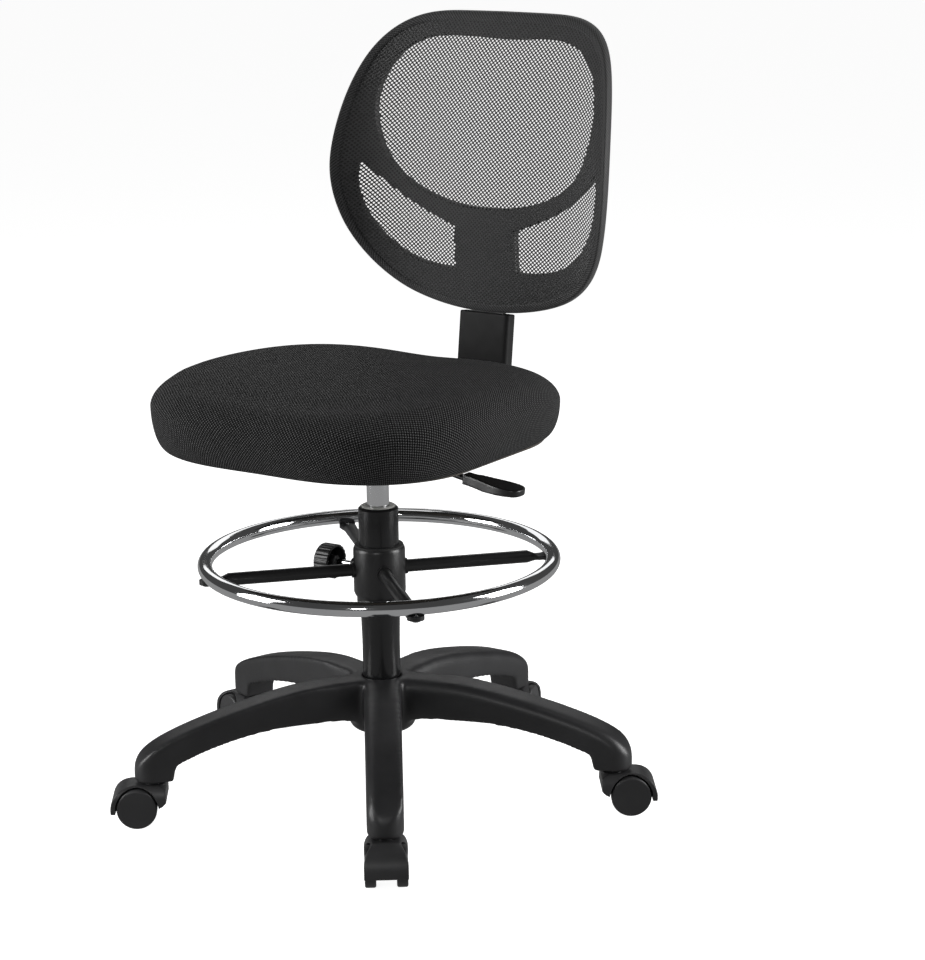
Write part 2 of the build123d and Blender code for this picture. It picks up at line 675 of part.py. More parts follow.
KNOB_R, KNOB_IN, KNOB_OUT = 22.0, 65.0, 87.0
with BuildPart() as clamp_knob:
    with BuildSketch(clamp_plane(KNOB_IN)):
        Circle(KNOB_R)
    extrude(amount=KNOB_OUT - KNOB_IN)
    fillet(clamp_knob.edges().filter_by(GeomType.CIRCLE).sort_by(
        lambda e: e.center().length)[-1], 3.5)
    with BuildSketch(clamp_plane(KNOB_IN)):
        Circle(KNOB_R - 3.5)
        Circle(8, mode=Mode.SUBTRACT)
    extrude(amount=17, mode=Mode.SUBTRACT)
    with BuildSketch(clamp_plane(KNOB_IN - 5)):
        with PolarLocations(KNOB_R + 1.1, 20):
            Circle(2.0)
    extrude(amount=40, mode=Mode.SUBTRACT)
    with BuildSketch(clamp_plane(KNOB_IN - 1)):
        Circle(4.0)
    extrude(amount=80 - KNOB_IN + 1, mode=Mode.SUBTRACT)
save(clamp_knob, "clamp_knob")

# ==================================================================== casters
for k in range(5):
    arm = radians(ARM_START + 72 * k)
    px, py = ARM_REACH * cos(arm), ARM_REACH * sin(arm)
    ta = CASTER_TRAIL[k]
    t = Vector(cos(radians(ta)), sin(radians(ta)), 0)       # trailing direction
    v = Vector(t.Y, -t.X, 0)                                # along the axle
    ax = (px + t.X * TRAIL, py + t.Y * TRAIL, WHEEL_R)
    name = f"caster_{k + 1}"

    def axle_plane(off):
        return Plane(origin=(ax[0] + v.X * off, ax[1] + v.Y * off, WHEEL_R),
                     x_dir=(t.X, t.Y, 0), z_dir=(v.X, v.Y, 0))

    with BuildPart() as housing:
        with BuildSketch(side_plane(px, py, ta)):
            with BuildLine():
                lip = (51.2, 19.6)
                ThreePointArc(lip, (44.6, 43.6), (22.5, 53.8))
                Line((22.5, 53.8), (-9, 53.8))
                Line((-9, 53.8), (-17.5, 49.0))
                Line((-17.5, 49.0), (-17.5, 33.0))
                Line((-17.5, 33.0), (-12.5, 28.0))
                Line((-12.5, 28.0), (-6.0, 25.0))
                ThreePointArc((-6.0, 25.0), (TRAIL, 11.5), (44.5, 19.6))
                Line((44.5, 19.6), lip)
            make_face()
        extrude(amount=HOOD_HALF, both=True)
        # rounded shoulders towards the wheel faces
        with BuildSketch(Plane(origin=(px - 40 * t.X, py - 40 * t.Y, 0),
                               x_dir=(-v.X, -v.Y, 0), z_dir=(t.X, t.Y, 0))):
            with BuildLine():
                Polyline((-HOOD_HALF, 36), (-HOOD_HALF, 0), (HOOD_HALF, 0), (HOOD_HALF, 36))
                ThreePointArc((HOOD_HALF, 36), (HOOD_HALF - 2.6, 46), (HOOD_HALF - 10, 54))
                Line((HOOD_HALF - 10, 54), (10 - HOOD_HALF, 54))
                ThreePointArc((10 - HOOD_HALF, 54), (2.6 - HOOD_HALF, 46), (-HOOD_HALF, 36))
            make_face()
        extrude(amount=110, mode=Mode.INTERSECT)
        for s in (1, -1):
            with BuildSketch(axle_plane(s * 11.0)):
                Circle(HOOD_IN_R)
            extrude(amount=s * 30, mode=Mode.SUBTRACT)
        # neck that turns under the arm's socket
        with BuildSketch(Plane.XY.offset(36)):
            with Locations((px, py)):
                Circle(17.3)
        extrude(amount=53.9 - 36)
        for s in (1, -1):
            with BuildSketch(axle_plane(s * 11.0)):
                Circle(HOOD_IN_R)
            extrude(amount=s * 30, mode=Mode.SUBTRACT)
        with BuildSketch(Plane.XY.offset(39)):
            with Locations((px, py)):
                Circle(STEM_R + 0.06)
        extrude(amount=30, mode=Mode.SUBTRACT)
        with BuildSketch(axle_plane(-20)):
            Circle(AXLE_R)
        extrude(amount=40, mode=Mode.SUBTRACT)
    save(housing, f"{name}_housing")

    with BuildPart() as axle:
        with BuildSketch(axle_plane(-22)):
            Circle(AXLE_R)
        extrude(amount=44)
    save(axle, f"{name}_axle")

    for side, s in (("left", 1), ("right", -1)):
        with BuildPart() as wheel:
            with BuildSketch(axle_plane(s * WHEEL_IN)):
                Circle(WHEEL_R)
            extrude(amount=s * (WHEEL_OUT - WHEEL_IN))
            fillet(wheel.edges().filter_by(GeomType.CIRCLE), 2.2)
            # recess in the inner face, and the axle's blind bore
            with BuildSketch(axle_plane(s * (WHEEL_IN - 1))):
                Circle(20)
                Circle(8, mode=Mode.SUBTRACT)
            extrude(amount=s * 8, mode=Mode.SUBTRACT)
            with BuildSketch(axle_plane(s * (WHEEL_IN - 1))):
                Circle(AXLE_R + 0.05)
            extrude(amount=s * 11.4, mode=Mode.SUBTRACT)
        save(wheel, f"{name}_wheel_{side}")
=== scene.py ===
import json
import math

import bpy
import bmesh
import numpy as np
from mathutils import Matrix, Vector
from mathutils.kdtree import KDTree

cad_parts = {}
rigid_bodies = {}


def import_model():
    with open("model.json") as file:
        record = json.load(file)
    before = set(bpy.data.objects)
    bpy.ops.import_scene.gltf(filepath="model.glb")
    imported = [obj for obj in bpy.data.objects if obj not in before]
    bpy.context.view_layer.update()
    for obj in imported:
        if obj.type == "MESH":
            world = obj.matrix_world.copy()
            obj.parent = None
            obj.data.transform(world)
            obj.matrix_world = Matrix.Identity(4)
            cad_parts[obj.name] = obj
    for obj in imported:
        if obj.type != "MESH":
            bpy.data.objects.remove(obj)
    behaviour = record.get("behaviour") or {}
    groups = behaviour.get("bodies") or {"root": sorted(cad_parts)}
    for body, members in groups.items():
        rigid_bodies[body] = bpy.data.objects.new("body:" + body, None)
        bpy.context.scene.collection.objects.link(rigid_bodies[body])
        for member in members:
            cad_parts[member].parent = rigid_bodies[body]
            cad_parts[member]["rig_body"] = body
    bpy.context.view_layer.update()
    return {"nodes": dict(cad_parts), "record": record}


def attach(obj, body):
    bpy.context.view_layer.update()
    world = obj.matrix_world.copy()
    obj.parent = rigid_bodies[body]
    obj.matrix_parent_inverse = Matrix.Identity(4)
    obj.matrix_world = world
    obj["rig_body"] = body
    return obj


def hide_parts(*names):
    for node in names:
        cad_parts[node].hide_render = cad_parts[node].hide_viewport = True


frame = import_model()
N = frame["nodes"]
S = bpy.context.scene

# ------------------------------------------------------------------ camera
A = math.radians(36.0)
DIST, HIGH = 3.3643, 1.2530
PITCH, ROLL, YAW = 0.24696, 0.015149, 0.031312
FOCAL_PX = 2798.2


def to_chair(v):
    return Vector((v[0] * math.cos(A) - v[1] * math.sin(A),
                   v[0] * math.sin(A) + v[1] * math.cos(A), v[2]))


r0 = Vector((math.cos(YAW), -math.sin(YAW), 0))
h0 = Vector((math.sin(YAW), math.cos(YAW), 0))
fwd = h0 * math.cos(PITCH) - Vector((0, 0, math.sin(PITCH)))
up0 = h0 * math.sin(PITCH) + Vector((0, 0, math.cos(PITCH)))
right = to_chair(r0 * math.cos(ROLL) - up0 * math.sin(ROLL))
upward = to_chair(r0 * math.sin(ROLL) + up0 * math.cos(ROLL))
ahead = to_chair(fwd)
cam_data = bpy.data.cameras.new("cam")
cam_data.sensor_width = 36.0
cam_data.lens = FOCAL_PX * 36.0 / 960.0
cam_data.clip_end = 50
cam = bpy.data.objects.new("cam", cam_data)
S.collection.objects.link(cam)
m = Matrix.Identity(4)
for i in range(3):
    m[i][0], m[i][1], m[i][2] = right[i], upward[i], -ahead[i]
m.translation = to_chair((0, -DIST, HIGH))
cam.matrix_world = m
S.camera = cam
S.view_settings.view_transform = "Standard"
S.view_settings.look = "None"

# ------------------------------------------------------------- world, lights
world = bpy.data.worlds.new("studio")
S.world = world
world.use_nodes = True
wn, wl = world.node_tree.nodes, world.node_tree.links
wn.clear()
w_out = wn.new("ShaderNodeOutputWorld")
w_mix = wn.new("ShaderNodeMixShader")
w_path = wn.new("ShaderNodeLightPath")
w_seen = wn.new("ShaderNodeBackground")
w_seen.inputs[0].default_value = (1, 1, 1, 1)
w_seen.inputs[1].default_value = 1.0
w_room = wn.new("ShaderNodeBackground")
w_room.inputs[0].default_value = (1, 1, 1, 1)
w_room.inputs[1].default_value = 0.055
wl.new(w_path.outputs["Is Camera Ray"], w_mix.inputs[0])
wl.new(w_room.outputs[0], w_mix.inputs[1])
wl.new(w_seen.outputs[0], w_mix.inputs[2])
wl.new(w_mix.outputs[0], w_out.inputs[0])


def area(name, at, aim, size, power, color=(1, 1, 1)):
    data = bpy.data.lights.new(name, "AREA")
    data.shape = "RECTANGLE"
    data.size, data.size_y = size
    data.energy = power
    data.color = color
    o = bpy.data.objects.new(name, data)
    S.collection.objects.link(o)
    o.location = to_chair(at)
    o.rotation_euler = (to_chair(aim) - to_chair(at)).to_track_quat("-Z", "Y").to_euler()
    return o


area("light_left", (-2.3, -0.35, 0.9), (0, 0, 0.4), (1.1, 2.2), 62)
area("light_right", (2.3, -0.35, 0.9), (0, 0, 0.4), (1.1, 2.2), 74)
area("light_top", (0.1, 0.5, 2.7), (0, 0, 0.4), (1.5, 1.0), 5)
area("light_front", (-0.7, -3.0, 1.5), (0, 0, 0.5), (0.4, 0.7), 13)
area("light_back", (0, 2.4, 1.5), (0, 0, 0.5), (2.6, 0.8), 7)

# ------------------------------------------------------------------- floor
fm = bpy.data.materials.new("floor")
fm.use_nodes = True
n, l = fm.node_tree.nodes, fm.node_tree.links
n.clear()
o = n.new("ShaderNodeOutputMaterial")
mix = n.new("ShaderNodeMixShader")
em = n.new("ShaderNodeEmission")
em.inputs[1].default_value = 0.92
df = n.new("ShaderNodeBsdfDiffuse")
df.inputs[0].default_value = (0.8, 0.8, 0.8, 1)
add = n.new("ShaderNodeAddShader")
dim = n.new("ShaderNodeEmission")
dim.inputs[1].default_value = 0.27
lp = n.new("ShaderNodeLightPath")
l.new(em.outputs[0], add.inputs[0])
l.new(df.outputs[0], add.inputs[1])
l.new(lp.outputs["Is Camera Ray"], mix.inputs[0])
l.new(dim.outputs[0], mix.inputs[1])
l.new(add.outputs[0], mix.inputs[2])
l.new(mix.outputs[0], o.inputs[0])
me = bpy.data.meshes.new("floor")
me.from_pydata([(-15, -15, 0), (15, -15, 0), (15, 15, 0), (-15, 15, 0)], [], [(0, 1, 2, 3)])
floor = bpy.data.objects.new("floor", me)
me.materials.append(fm)
S.collection.objects.link(floor)


# --------------------------------------------------------------- materials
class Mat:
    """A Principled material with a few helpers for its node tree."""

    def __init__(self, name, base, rough, metal=0.0, coord="Object"):
        self.m = bpy.data.materials.new(name)
        self.m.use_nodes = True
        self.t = self.m.node_tree
        self.n, self.l = self.t.nodes, self.t.links
        self.b = self.n["Principled BSDF"]
        self.b.inputs["Base Color"].default_value = (*base, 1)
        self.b.inputs["Roughness"].default_value = rough
        self.b.inputs["Metallic"].default_value = metal
        self.base = base
        if coord == "UV":
            uv = self.n.new("ShaderNodeUVMap")
            uv.uv_map = "cloth"
            self.c = uv.outputs[0]
        else:
            self.c = self.n.new("ShaderNodeTexCoord").outputs[coord]

    def node(self, kind, **values):
        x = self.n.new(kind)
        for k, v in values.items():
            setattr(x, k, v)
        return x

    def math(self, op, a, b=None, c=None):
        x = self.node("ShaderNodeMath", operation=op)
        for i, v in enumerate((a, b, c)):
            if v is None:
                continue
            if isinstance(v, (int, float)):
                x.inputs[i].default_value = v
            else:
                self.l.new(v, x.inputs[i])
        return x.outputs[0]

    def noise(self, scale, detail=2.0, rough=0.5, coord=None):
        x = self.node("ShaderNodeTexNoise")
        x.inputs["Scale"].default_value = scale
        x.inputs["Detail"].default_value = detail
        x.inputs["Roughness"].default_value = rough
        self.l.new(coord or self.c, x.inputs["Vector"])
        return x.outputs["Fac"]

    def ramp(self, fac, stops):
        x = self.node("ShaderNodeValToRGB")
        e = x.color_ramp.elements
        while len(e) < len(stops):
            e.new(0.5)
        for s, (p, col) in zip(e, stops):
            s.position = p
            s.color = (*col, 1) if not isinstance(col, (int, float)) else (col, col, col, 1)
        self.l.new(fac, x.inputs[0])
        return x.outputs[0]

    def color(self, socket):
        self.l.new(socket, self.b.inputs["Base Color"])

    def rough(self, socket):
        self.l.new(socket, self.b.inputs["Roughness"])

    def bump(self, height, strength, distance, after=None):
        x = self.node("ShaderNodeBump")
        x.inputs["Strength"].default_value = strength
        x.inputs["Distance"].default_value = distance
        self.l.new(height, x.inputs["Height"])
        if after:
            self.l.new(after.outputs[0], x.inputs["Normal"])
        self.l.new(x.outputs[0], self.b.inputs["Normal"])
        return x


def plastic(name, base, rough, grain=900.0, strength=0.35, vary=0.25):
    """Moulded plastic: fine spark-eroded grain, slight mottling, duller patches."""
    k = Mat(name, base, rough)
    big = k.noise(14.0, 3)
    k.color(k.ramp(big, [(0.3, tuple(x * (1 - vary) for x in base)),
                         (0.7, tuple(x * (1 + vary) for x in base))]))
    fine = k.noise(grain, 2)
    k.rough(k.math("ADD", k.math("MULTIPLY", k.math("SUBTRACT", k.noise(60.0, 3), 0.5), 0.16), rough))
    k.bump(fine, strength, 0.00025)
    return k


M = {}
M["base_nylon"] = plastic("base_nylon", (0.017, 0.017, 0.018), 0.40, 1100, 0.5)
M["caster_nylon"] = plastic("caster_nylon", (0.028, 0.028, 0.029), 0.40, 1300, 0.35)
M["wheel_nylon"] = plastic("wheel_nylon", (0.026, 0.026, 0.027), 0.46, 1300, 0.3)
M["column_black"] = plastic("column_black", (0.009, 0.009, 0.0095), 0.22, 500, 0.06, 0.15)
M["bracket_black"] = plastic("bracket_black", (0.012, 0.012, 0.0125), 0.33, 700, 0.12, 0.2)
M["cover_satin"] = plastic("cover_satin", (0.006, 0.006, 0.0062), 0.6, 1200, 0.25, 0.12)
M["cover_satin"].b.inputs["Specular IOR Level"].default_value = 0.22
M["frame_black"] = plastic("frame_black", (0.010, 0.010, 0.010), 0.5, 900, 0.3)
M["lever_plastic"] = plastic("lever_plastic", (0.011, 0.011, 0.0115), 0.30, 1000, 0.15)
M["knob_plastic"] = plastic("knob_plastic", (0.012, 0.012, 0.0125), 0.36, 1000, 0.25)
M["sleeve_nylon"] = plastic("sleeve_nylon", (0.35, 0.35, 0.33), 0.45, 900, 0.1)
M["rubber_black"] = plastic("rubber_black", (0.012, 0.012, 0.012), 0.7, 800, 0.2)

k = Mat("chrome", (0.86, 0.87, 0.88), 0.07, 1.0)
smear = k.noise(30.0, 4)
k.rough(k.ramp(smear, [(0.35, 0.045), (0.75, 0.13)]))
k.color(k.ramp(k.noise(9.0, 3), [(0.3, (0.80, 0.81, 0.83)), (0.7, (0.90, 0.905, 0.91))]))
k.bump(k.noise(220.0, 2), 0.05, 0.0002)
M["chrome"] = k
k = Mat("steel", (0.52, 0.52, 0.53), 0.28, 1.0)
k.rough(k.ramp(k.noise(90.0, 3), [(0.3, 0.22), (0.75, 0.42)]))
k.color(k.ramp(k.noise(25.0, 3), [(0.3, (0.44, 0.44, 0.45)), (0.7, (0.58, 0.58, 0.59))]))
k.bump(k.noise(900.0, 2), 0.1, 0.0002)
M["steel"] = k
k = Mat("brass", (0.62, 0.44, 0.18), 0.3, 1.0)
k.color(k.ramp(k.noise(60.0, 3), [(0.3, (0.52, 0.36, 0.14)), (0.7, (0.68, 0.49, 0.22))]))
k.bump(k.noise(900.0, 2), 0.1, 0.0002)
M["brass"] = k
k = Mat("plywood", (0.045, 0.037, 0.029), 0.75)
st = k.node("ShaderNodeMapping")
st.inputs["Scale"].default_value = (1.2, 26.0, 26.0)
k.l.new(k.c, st.inputs[0])
k.color(k.ramp(k.noise(7.0, 5, 0.6, st.outputs[0]),
               [(0.3, (0.030, 0.024, 0.018)), (0.5, (0.045, 0.037, 0.029)), (0.72, (0.062, 0.052, 0.041))]))
k.bump(k.noise(60.0, 4, 0.6, st.outputs[0]), 0.2, 0.0004)
M["plywood"] = k

# seat fabric: rows of small raised knots with eyelets between them; the colour is painted darker in the eyelets as
# painted shade and lighter on the knot crests as painted light
k = Mat("seat_fabric", (0.02, 0.02, 0.02), 0.75, coord="UV")
sep = k.node("ShaderNodeSeparateXYZ")
warp = k.node("ShaderNodeVectorMath", operation="MULTIPLY_ADD")
wob = k.node("ShaderNodeTexNoise")
wob.inputs["Scale"].default_value = 9.0
k.l.new(k.c, wob.inputs["Vector"])
k.l.new(wob.outputs["Color"], warp.inputs[0])
warp.inputs[1].default_value = (0.0022, 0.0022, 0)
k.l.new(k.c, warp.inputs[2])
k.l.new(warp.outputs[0], sep.inputs[0])
PITCH_U, PITCH_V = 0.0046, 0.0041
ph = k.math("MULTIPLY", sep.outputs[0], 2 * math.pi / PITCH_U)
pv = k.math("MULTIPLY", sep.outputs[1], 2 * math.pi / PITCH_V)
diag1 = k.math("SINE", k.math("ADD", ph, pv))
diag2 = k.math("SINE", k.math("SUBTRACT", ph, pv))
knot = k.math("MULTIPLY_ADD", k.math("ADD", diag1, diag2), 0.25, 0.5)
fine = k.noise(1500.0, 2)
hgt = k.math("ADD", knot, k.math("MULTIPLY", fine, 0.25))
# colour follows the knot height: painted shade in the eyelets, painted light on the knot crests
k.color(k.ramp(knot, [(0.3, (0.0006, 0.0006, 0.0006)), (0.55, (0.006, 0.006, 0.0062)), (0.85, (0.085, 0.085, 0.086))]))
k.rough(k.ramp(knot, [(0.2, 0.9), (0.9, 0.52)]))
k.b.inputs["Sheen Weight"].default_value = 0.03
k.b.inputs["Sheen Roughness"].default_value = 0.4
k.b.inputs["Specular IOR Level"].default_value = 0.18
k.bump(hgt, 1.0, 0.0014)
M["seat_fabric"] = k

# mesh yarn of the back
k = Mat("back_mesh", (0.016, 0.016, 0.0165), 0.5)
tw = k.node("ShaderNodeMapping")
tw.inputs["Rotation"].default_value = (0, math.radians(42), 0)
k.l.new(k.c, tw.inputs[0])
wave = k.node("ShaderNodeTexWave", wave_type="BANDS", bands_direction="X")
wave.inputs["Scale"].default_value = 900.0
wave.inputs["Distortion"].default_value = 1.2
k.l.new(tw.outputs[0], wave.inputs["Vector"])
# colour follows the yarn bands: painted shade in the troughs between yarns, painted sheen on the yarn ridges
k.color(k.ramp(wave.outputs["Fac"], [(0.2, (0.004, 0.004, 0.004)), (0.8, (0.046, 0.046, 0.047))]))
k.b.inputs["Sheen Weight"].default_value = 0.05
k.b.inputs["Sheen Roughness"].default_value = 0.35
k.bump(wave.outputs["Fac"], 0.5, 0.0003)
M["back_mesh"] = k

# thread of the seam stitches
k = Mat("thread", (0.02, 0.02, 0.021), 0.6)
k.bump(k.noise(2500.0, 2), 0.5, 0.0003)
k.color(k.ramp(k.noise(400.0, 2), [(0.3, (0.012, 0.012, 0.012)), (0.7, (0.035, 0.035, 0.036))]))
M["thread"] = k

# painted shadow: a dark sheet filling the eyelets where the cloth lies on the frame, standing in for the shade inside
# the holes
k = Mat("mesh_shadow", (0.004, 0.004, 0.004), 0.7)
k.color(k.ramp(k.noise(700.0, 2), [(0.3, (0.0008, 0.0008, 0.0008)), (0.7, (0.002, 0.002, 0.002))]))
k.bump(k.noise(1500.0, 2), 0.4, 0.0002)
M["mesh_shadow"] = k

# the same cloth pulled tight round the edge: slanting yarns, the colour painted darker in the gaps as painted shade
# and lighter on the yarns as painted light
k = Mat("back_hem", (0.014, 0.014, 0.0145), 0.55, coord="UV")
sep = k.node("ShaderNodeSeparateXYZ")
k.l.new(k.c, sep.inputs[0])
d1 = k.math("MULTIPLY", k.math("ADD", sep.outputs[0], sep.outputs[1]), 2 * math.pi / 0.0041)
d2 = k.math("MULTIPLY", k.math("SUBTRACT", sep.outputs[0], sep.outputs[1]), 2 * math.pi / 0.0041)
yarn = k.math("MULTIPLY_ADD", k.math("SINE", d1), 0.5, 0.5)
tie = k.math("MULTIPLY_ADD", k.math("SINE", d2), 0.5, 0.5)
h = k.math("ADD", k.math("MULTIPLY", yarn, 0.75), k.math("MULTIPLY", tie, 0.25))
# colour follows the yarn height: painted shade in the gaps, painted light on the yarn crests
k.color(k.ramp(h, [(0.2, (0.004, 0.004, 0.004)), (0.55, (0.014, 0.014, 0.0145)), (0.9, (0.036, 0.036, 0.037))]))
k.rough(k.ramp(h, [(0.2, 0.85), (0.9, 0.5)]))
k.b.inputs["Sheen Weight"].default_value = 0.12
k.bump(h, 0.6, 0.0006)
M["back_hem"] = k

slots = {}
for row in frame["record"]["subparts"]:
    slots[row["node"]] = row["material_slot"]


def smooth_group():
    g = bpy.data.node_groups.new("smooth_by_angle", "GeometryNodeTree")
    g.interface.new_socket("Geometry", in_out="INPUT", socket_type="NodeSocketGeometry")
    g.interface.new_socket("Geometry", in_out="OUTPUT", socket_type="NodeSocketGeometry")
    gi, go = g.nodes.new("NodeGroupInput"), g.nodes.new("NodeGroupOutput")
    weld = g.nodes.new("GeometryNodeMergeByDistance")
    weld.inputs["Distance"].default_value = 0.000002
    face = g.nodes.new("GeometryNodeSetShadeSmooth")
    face.domain = "FACE"
    face.inputs["Shade Smooth"].default_value = True
    edge = g.nodes.new("GeometryNodeSetShadeSmooth")
    edge.domain = "EDGE"
    angle = g.nodes.new("GeometryNodeInputMeshEdgeAngle")
    less = g.nodes.new("FunctionNodeCompare")
    less.data_type, less.operation = "FLOAT", "LESS_THAN"
    less.inputs[1].default_value = math.radians(28)
    g.links.new(gi.outputs[0], weld.inputs[0])
    g.links.new(weld.outputs[0], face.inputs["Geometry"])
    g.links.new(face.outputs[0], edge.inputs["Geometry"])
    g.links.new(angle.outputs["Unsigned Angle"], less.inputs[0])
    g.links.new(less.outputs[0], edge.inputs["Shade Smooth"])
    g.links.new(edge.outputs[0], go.inputs[0])
    return g


SMOOTH = smooth_group()
for name, o in N.items():
    s = slots.get(name)
    if s and s in M:
        o.data.materials.clear()
        o.data.materials.append(M[{"footring_bush": "rubber_black", "gas_cylinder": "chrome"}.get(name, s)].m)
    mod = o.modifiers.new("smooth", "NODES")
    mod.node_group = SMOOTH

# -------------------------------------------------------------- mesh helpers
def new_piece(name, verts, faces, mats, body, index=None, uv=None):
    me = bpy.data.meshes.new(name)
    me.from_pydata([tuple(v) for v in verts], [], [tuple(f) for f in faces])
    for mt in mats:
        me.materials.append(M[mt].m)
    if index is not None:
        me.polygons.foreach_set("material_index", np.asarray(index, np.int32))
    me.polygons.foreach_set("use_smooth", np.ones(len(me.polygons), bool))
    if uv is not None:
        layer = me.uv_layers.new(name="cloth")
        loops = np.empty(len(me.loops), np.int32)
        me.loops.foreach_get("vertex_index", loops)
        layer.data.foreach_set("uv", np.asarray(uv, np.float32)[loops].ravel())
    me.update()
    o = bpy.data.objects.new(name, me)
    S.collection.objects.link(o)
    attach(o, body)
    return o


def evaluated(o):
    """The object's mesh with its modifiers applied, as a fresh mesh."""
    bpy.context.view_layer.update()
    g = bpy.context.evaluated_depsgraph_get()
    return bpy.data.meshes.new_from_object(o.evaluated_get(g))


def soften(node, voxel, rounds, name=None, factor=0.5, body=None, weight=None, extra=0):
    """A smoothed twin of a CAD node: remeshed finely, its moulded edges rounded."""
    src = N[node]
    me = src.data.copy()
    me.name = name or node + "_moulded"
    o = bpy.data.objects.new(me.name, me)
    S.collection.objects.link(o)
    r = o.modifiers.new("remesh", "REMESH")
    r.mode = "VOXEL"
    r.voxel_size = voxel
    r.use_smooth_shade = True
    s = o.modifiers.new("round", "SMOOTH")
    s.factor, s.iterations = factor, rounds
    done = evaluated(o)
    o.modifiers.clear()
    o.data = done
    done.name = o.name
    if extra and weight is not None:
        co = np.empty(len(done.vertices) * 3)
        done.vertices.foreach_get("co", co)
        w = weight(co.reshape(-1, 3))
        vg = o.vertex_groups.new(name="round")
        for level in np.unique(np.round(w, 1)):
            if level > 0:
                idx = np.nonzero(np.round(w, 1) == level)[0].tolist()
                vg.add(idx, float(level), "REPLACE")
        s = o.modifiers.new("web", "SMOOTH")
        s.factor, s.iterations, s.vertex_group = 0.5, extra, "round"
        done = evaluated(o)
        o.modifiers.clear()
        o.data = done
        done.name = o.name
    done.materials.clear()
    done.materials.append(M[slots[node]].m)
    done.polygons.foreach_set("use_smooth", np.ones(len(done.polygons), bool))
    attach(o, body or src["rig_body"])
    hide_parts(node)
    return o


def spline_closed(points, n):
    """Smooth closed curve through the points (periodic cubic), n samples."""
    P = np.array(points, float)
    m = len(P)
    h = np.linalg.norm(np.roll(P, -1, 0) - P, axis=1)
    G = np.zeros((m, m))
    rhs = np.zeros((m, 2))
    for i in range(m):
        p, q = (i - 1) % m, (i + 1) % m
        G[i, p] += h[p]
        G[i, i] += 2 * (h[p] + h[i])
        G[i, q] += h[i]
        rhs[i] = 6 * ((P[q] - P[i]) / h[i] - (P[i] - P[p]) / h[p])
    K = np.linalg.solve(G, rhs)
    t = np.concatenate([[0], np.cumsum(h)])
    s = np.linspace(0, t[-1], n, endpoint=False)
    i = np.clip(np.searchsorted(t, s, side="right") - 1, 0, m - 1)
    j = (i + 1) % m
    u = (s - t[i])[:, None]
    hi = h[i][:, None]
    return (K[i] * (hi - u) ** 3 + K[j] * u ** 3) / (6 * hi) + \
        (P[i] / hi - K[i] * hi / 6) * (hi - u) + (P[j] / hi - K[j] * hi / 6) * u


def spline_open(points, n):
    P = np.array(points, float)
    m = len(P)
    h = np.linalg.norm(P[1:] - P[:-1], axis=1)
    G = np.eye(m)
    rhs = np.zeros((m, 2))
    for i in range(1, m - 1):
        G[i, i - 1], G[i, i], G[i, i + 1] = h[i - 1], 2 * (h[i - 1] + h[i]), h[i]
        rhs[i] = 6 * ((P[i + 1] - P[i]) / h[i] - (P[i] - P[i - 1]) / h[i - 1])
    K = np.linalg.solve(G, rhs)
    t = np.concatenate([[0], np.cumsum(h)])
    s = np.linspace(0, t[-1], n)
    i = np.clip(np.searchsorted(t, s, side="right") - 1, 0, m - 2)
    u = (s - t[i])[:, None]
    hi = h[i][:, None]
    return (K[i] * (hi - u) ** 3 + K[i + 1] * u ** 3) / (6 * hi) + \
        (P[i] / hi - K[i] * hi / 6) * (hi - u) + (P[i + 1] / hi - K[i + 1] * hi / 6) * u


def inside(poly, pts):
    x, y = pts[:, 0][:, None], pts[:, 1][:, None]
    a, b = poly, np.roll(poly, -1, 0)
    cut = ((a[:, 1] > y) != (b[:, 1] > y)) & \
        (x < (b[:, 0] - a[:, 0]) * (y - a[:, 1]) / (b[:, 1] - a[:, 1] + 1e-12) + a[:, 0])
    return cut.sum(1) % 2 == 1


def nearest(poly, pts):
    """Distance from each point to a densely sampled closed line."""
    out = np.empty(len(pts))
    for k in range(0, len(pts), 2000):
        d = pts[k:k + 2000, None, :] - poly[None]
        out[k:k + 2000] = np.sqrt((d ** 2).sum(2).min(1))
    return out


# ---------------------------------------------------------------- back mesh
def bow(x):
    return 3.03e-4 * x * x - 3.53e-8 * x ** 4


def lean(z):
    z = np.asarray(z, float)
    return np.where(z < 685, 244.6 + 0.022 * (685 - z),
                    251.0 + 0.127 * (z - 780) + 6.3e-4 * (z - 780) ** 2)


def on_back(x, z, off):
    x, z = np.asarray(x, float), np.asarray(z, float)
    return np.stack([x, lean(z) + bow(x) + off, z], -1) / 1000.0


def whole(half):
    return half + [(-x, z) for x, z in half[-2:0:-1]]


OUTLINE = spline_closed(whole([
    (0, 958), (58, 957.5), (104, 955), (143, 943), (172, 917), (190, 880), (200, 842),
    (206, 803), (208.5, 766), (205.5, 729), (196.5, 692), (181, 657), (159, 628),
    (130, 605), (94, 590), (50, 581), (0, 578)]), 840)
UPPER = spline_closed(whole([
    (0, 925), (58, 926.5), (102, 924), (133, 911), (154, 887), (164, 858), (165.5, 830),
    (160, 802), (149, 775), (131, 752), (106, 735), (73, 722), (38, 715), (0, 713)]), 600)
LOW = [(46, 686), (75, 697), (117, 717), (147, 738), (168, 755), (181, 768), (184.5, 752),
       (183, 732), (175, 704), (162, 681), (144, 661), (118, 644), (88, 635), (46, 632)]
LOW_R = np.concatenate([spline_open(LOW[:6], 120)[:-1], spline_open(LOW[5:], 160)])
LOW_L = LOW_R * np.array([-1, 1])
WINDOWS = [UPPER, LOW_R, LOW_L]

